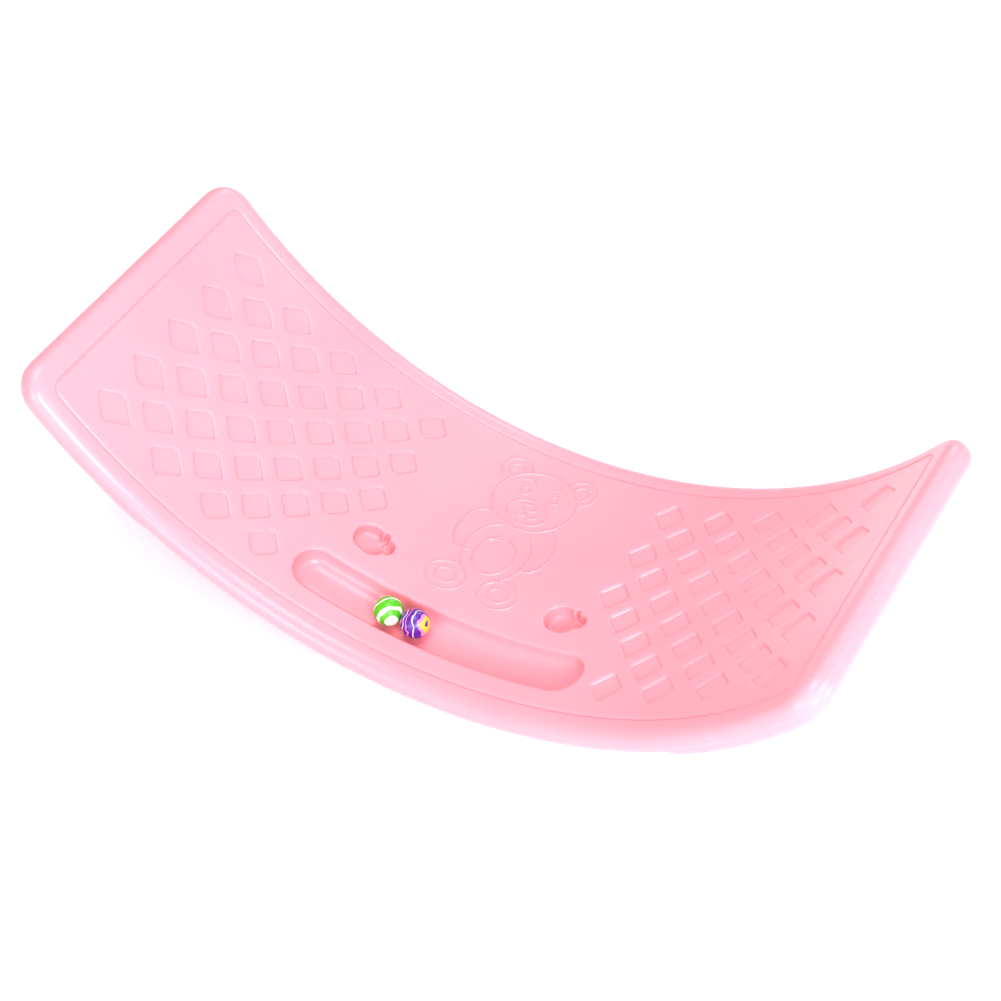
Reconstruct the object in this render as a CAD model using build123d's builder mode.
from build123d import *
import os
from math import asin, cos, degrees, radians, sin

# A child's curved balance board: a hollow blow-moulded plastic body, bent along its
# length to a circular arc, with a ball track moulded into its deck and two loose
# rubber balls that roll in it.
#
# Frame: +X along the board, +Y across it, away from the ball track, +Z up. The origin
# is on the floor, below the middle of the board, which rests there on its underside.
#
# A place on the deck is given by s, the arc length along the deck from the middle, by
# y, and by its height above the deck, measured towards the arc's centre.
# All sizes are in millimetres.

# ---- driving dimensions -------------------------------------------------------------

deck_radius = 430.0         # concave top face, about the arc's centre
half_arc = 430.0            # from the middle to either end, along the deck
half_width = 159.0
thickness = 22.5            # deck to underside, along the rocking part
end_thickness = 26.0        # the ends are thicker, and stop the rocking
end_start = 272.0           # arc length at which an end has its full thickness
end_ramp = 12.0             # arc length of the step up to it
corner_radius = 29.0        # in plan, at the four corners
rim_radius = 10.5           # rolled edge, above and below
wall = 4.0                  # moulded wall all round the hollow inside

border_s = 406.0            # border groove: half its length along the deck
border_y = 138.0            # and half its width across it
border_corner = 11.0
border_width = 2.6
border_depth = 1.2

column_step = 23.9          # grip pattern: it is even in plan, seen from above, so it is
row_step = 26.0             # drawn out along the steeper ends of the deck
first_column = 315.9        # x of the outermost column of recesses
columns = 9
rows_each_side = 4
recess_length = 28.6        # each recess is a diamond: its diagonals in plan, along
recess_width = 33.0         # the board and across it
recess_corner = 3.5
recess_depth = 2.0

track_y = -96.0             # middle of the ball track
track_half_length = 146.0
track_half_width = 21.0
track_depth = 15.0
track_bottom_radius = 14.5  # rounds the track's floor into its walls

pocket_s = 99.0             # two finger pockets, one each side of the middle
pocket_y = -39.0
pocket_depth = 12.0
# Each pocket is round lobes that run into each other: their places from its middle,
# along the board and across it, and their radii.
pocket_lobes = (
    (-6.5, 0.5, 14.5), (4.2, 10.5, 4.3), (11.0, 3.0, 6.8), (13.0, -0.5, 5.5), (-1.0, -3.0, 12.0)
)
rib_s = 1.8                 # a short rib stands in from the pocket's far wall: its place
rib_tip = 10.2              # from the pocket's middle, along the board and across it
rib_width = 2.4
rib_length = 8.0

ball_radius = 13.5
ball_clearance = 0.3        # between a ball and the track's floor
ball_gap = 0.3              # between the two balls
green_ball_s = -49.0        # where the left ball lies

tool_height = 8.0           # how far the cutting solids stand above the deck

# ---- places on the arc --------------------------------------------------------------

arc_centre_z = thickness + deck_radius
arc_axis = Axis((0, 0, arc_centre_z), (0, -1, 0))   # turning about it moves towards +X


def section_point(s, depth):
    """The point of the XZ section at arc length s and a depth below the deck."""
    angle = s / deck_radius
    reach = deck_radius + depth
    return (reach * sin(angle), arc_centre_z - reach * cos(angle))


def along_deck(s):
    """The direction along the deck at s, away from the middle of the board."""
    angle = s / deck_radius
    outward = 1 if s > 0 else -1
    return (outward * cos(angle), outward * sin(angle))


def deck_plane(s, y=0.0, height=0.0):
    """The plane that lies along the deck at s: its X runs along the board, its Z up."""
    angle = s / deck_radius
    x, z = section_point(s, -height)
    return Plane((x, y, z), x_dir=(cos(angle), 0, sin(angle)), z_dir=(-sin(angle), 0, cos(angle)))


def cross_plane(s):
    """The plane square to the board at s: its X runs across the board, its Y up."""
    angle = s / deck_radius
    x, z = section_point(s, 0)
    return Plane((x, 0, z), x_dir=(0, 1, 0), z_dir=(cos(angle), 0, sin(angle)))


# ---- solids that the body is made from ----------------------------------------------


def curved_slab(inset):
    """The body's outer shape or, inset by the wall, the shape of the hollow in it."""
    end_s = half_arc - inset
    middle_depth = thickness - inset
    end_depth = end_thickness - inset
    ramp_s = end_start - end_ramp
    with BuildPart() as slab:
        with BuildSketch(Plane.XZ):
            with BuildLine():
                ThreePointArc(
                    section_point(-end_s, inset), section_point(0, inset), section_point(end_s, inset)
                )
                ThreePointArc(
                    section_point(-ramp_s, middle_depth),
                    section_point(0, middle_depth),
                    section_point(ramp_s, middle_depth),
                )
                for side in (-1, 1):
                    Spline(
                        section_point(side * ramp_s, middle_depth),
                        section_point(side * end_start, end_depth),
                        tangents=(along_deck(side * ramp_s), along_deck(side * end_start)),
                    )
                    ThreePointArc(
                        section_point(side * end_start, end_depth),
                        section_point(side * (end_start + end_s) / 2, end_depth),
                        section_point(side * end_s, end_depth),
                    )
                    Line(section_point(side * end_s, end_depth), section_point(side * end_s, inset))
            make_face()
        extrude(amount=half_width - inset, both=True)
        end_height = end_depth - inset
        corners = slab.edges().filter_by(lambda edge: abs(edge.length - end_height) < 0.01)
        fillet(corners, corner_radius - inset)
        rims = slab.faces().filter_by(Plane.XZ).edges()
        fillet(rims, rim_radius - inset)
    return slab.part


def track_space(grow):
    """The room in the ball track, or, grown by the wall, that room with its wall round it."""
    radius = track_half_width + grow
    depth = track_depth + grow
    bottom_radius = track_bottom_radius + grow
    end_s = track_half_length - track_half_width
    with BuildPart() as space:
        with BuildSketch(cross_plane(-end_s)) as section:
            with Locations((track_y, (tool_height - depth) / 2)):
                Rectangle(2 * radius, depth + tool_height)
            fillet(section.vertices().group_by(Axis.Y)[0], bottom_radius)
        revolve(axis=arc_axis, revolution_arc=degrees(2 * end_s / deck_radius))
        for side in (-1, 1):
            # Half the section, turned half way round, makes the track's round end.
            end_plane = deck_plane(side * end_s, track_y)
            with BuildSketch(cross_plane(side * end_s)) as half_section:
                with Locations((track_y + radius / 2, (tool_height - depth) / 2)):
                    Rectangle(radius, depth + tool_height)
                fillet(half_section.vertices().group_by(Axis.Y)[0].sort_by(Axis.X)[-1], bottom_radius)
            revolve(axis=Axis(end_plane.origin, end_plane.z_dir * -side), revolution_arc=180)
    return space.part


def pocket_space(side, grow):
    """The room in one finger pocket or, grown by the wall, that room with its wall round it."""
    with BuildPart() as space:
        with BuildSketch(deck_plane(side * pocket_s, pocket_y, -pocket_depth - grow)):
            for along, across, radius in pocket_lobes:
                with Locations((along, across)):
                    Circle(radius + grow)
            if grow == 0:
                with Locations((rib_s, rib_tip + rib_length / 2)):
                    SlotOverall(rib_length, rib_width, rotation=90, mode=Mode.SUBTRACT)
        extrude(amount=pocket_depth + grow + tool_height)
    return space.part


# ---- the body -----------------------------------------------------------------------

with BuildPart() as hollow:
    add(curved_slab(wall))
    add(track_space(wall), mode=Mode.SUBTRACT)
    for side in (-1, 1):
        add(pocket_space(side, wall), mode=Mode.SUBTRACT)

with BuildPart() as board_body:
    add(curved_slab(0))
    add(hollow.part, mode=Mode.SUBTRACT)
    add(track_space(0), mode=Mode.SUBTRACT)
    for side in (-1, 1):
        add(pocket_space(side, 0), mode=Mode.SUBTRACT)

    # Grip pattern: shallow diamond recesses in every second place of a grid, with the
    # corner of the field next to the ball track left plain.
    plain_places = ((7, -3), (8, -2), (8, -4))
    for side in (-1, 1):
        for column in range(columns):
            tilt = asin((first_column - column * column_step) / deck_radius)
            half_along = recess_length / 2 / cos(tilt)
            rows = [
                row
                for row in range(-rows_each_side, rows_each_side + 1)
                if (column + row) % 2 == 0 and (column, row) not in plain_places
            ]
            with BuildSketch(deck_plane(side * tilt * deck_radius, 0, -recess_depth)) as diamonds:
                with Locations(*[(0, row * row_step) for row in rows]):
                    Polygon((half_along, 0), (0, recess_width / 2), (-half_along, 0), (0, -recess_width / 2))
                fillet(diamonds.vertices(), recess_corner)
            extrude(amount=recess_depth + tool_height, mode=Mode.SUBTRACT)

    # Border groove: two long runs, two end runs and four rounded corners.
    straight_s = border_s - border_corner
    straight_y = border_y - border_corner
    groove_height = border_depth + tool_height
    with BuildSketch(cross_plane(-straight_s)):
        for side in (-1, 1):
            with Locations((side * border_y, (tool_height - border_depth) / 2)):
                Rectangle(border_width, groove_height)
    revolve(axis=arc_axis, revolution_arc=degrees(2 * straight_s / deck_radius), mode=Mode.SUBTRACT)
    for side in (-1, 1):
        with BuildSketch(deck_plane(side * border_s, 0, -border_depth)):
            Rectangle(border_width, 2 * straight_y)
        extrude(amount=groove_height, mode=Mode.SUBTRACT)
        with BuildSketch(deck_plane(side * straight_s, 0, -border_depth)):
            for across in (-1, 1):
                with Locations((0, across * straight_y)):
                    Circle(border_corner + border_width / 2)
                    Circle(border_corner - border_width / 2, mode=Mode.SUBTRACT)
            with Locations((-side * border_corner, 0)):
                Rectangle(2 * border_corner, 3 * border_y, mode=Mode.SUBTRACT)
            Rectangle(3 * border_corner, 2 * straight_y, mode=Mode.SUBTRACT)
        extrude(amount=groove_height, mode=Mode.SUBTRACT)

# ---- the balls ----------------------------------------------------------------------

ball_path_depth = track_depth - ball_clearance - ball_radius
ball_path_radius = deck_radius + ball_path_depth
ball_step = 2 * degrees(asin((ball_radius + ball_gap / 2) / ball_path_radius))
purple_ball_s = green_ball_s + radians(ball_step) * deck_radius


def ball(s):
    """One ball in the track, with its centre at s."""
    with BuildPart() as piece:
        with BuildSketch(deck_plane(s, track_y, -ball_path_depth)):
            Circle(ball_radius)
            with Locations((-ball_radius, 0)):
                Rectangle(2 * ball_radius, 2 * ball_radius, mode=Mode.SUBTRACT)
        revolve(axis=Axis(deck_plane(s, track_y, -ball_path_depth).origin, (0, 1, 0)))
    return piece.part


with BuildPart() as green_ball:
    add(ball(green_ball_s))

with BuildPart() as purple_ball:
    add(ball(purple_ball_s))

# ---- export -------------------------------------------------------------------------

board_body.part.label = "board_body"
green_ball.part.label = "green_ball"
purple_ball.part.label = "purple_ball"

os.makedirs("parts", exist_ok=True)
export_step(board_body.part, "parts/board_body.step")
export_step(green_ball.part, "parts/green_ball.step")
export_step(purple_ball.part, "parts/purple_ball.step")

# How far the balls can roll, as turns about the arc's axis from where they lie.
ball_reach = degrees((track_half_length - ball_radius - ball_gap) / deck_radius)
green_rest = degrees(green_ball_s / deck_radius)
print(f"joint axis height {arc_centre_z:.2f} mm, ball step {ball_step:.3f} deg")
print(f"ball travel {-ball_reach - green_rest:.2f} to {ball_reach - ball_step - green_rest:.2f} deg")
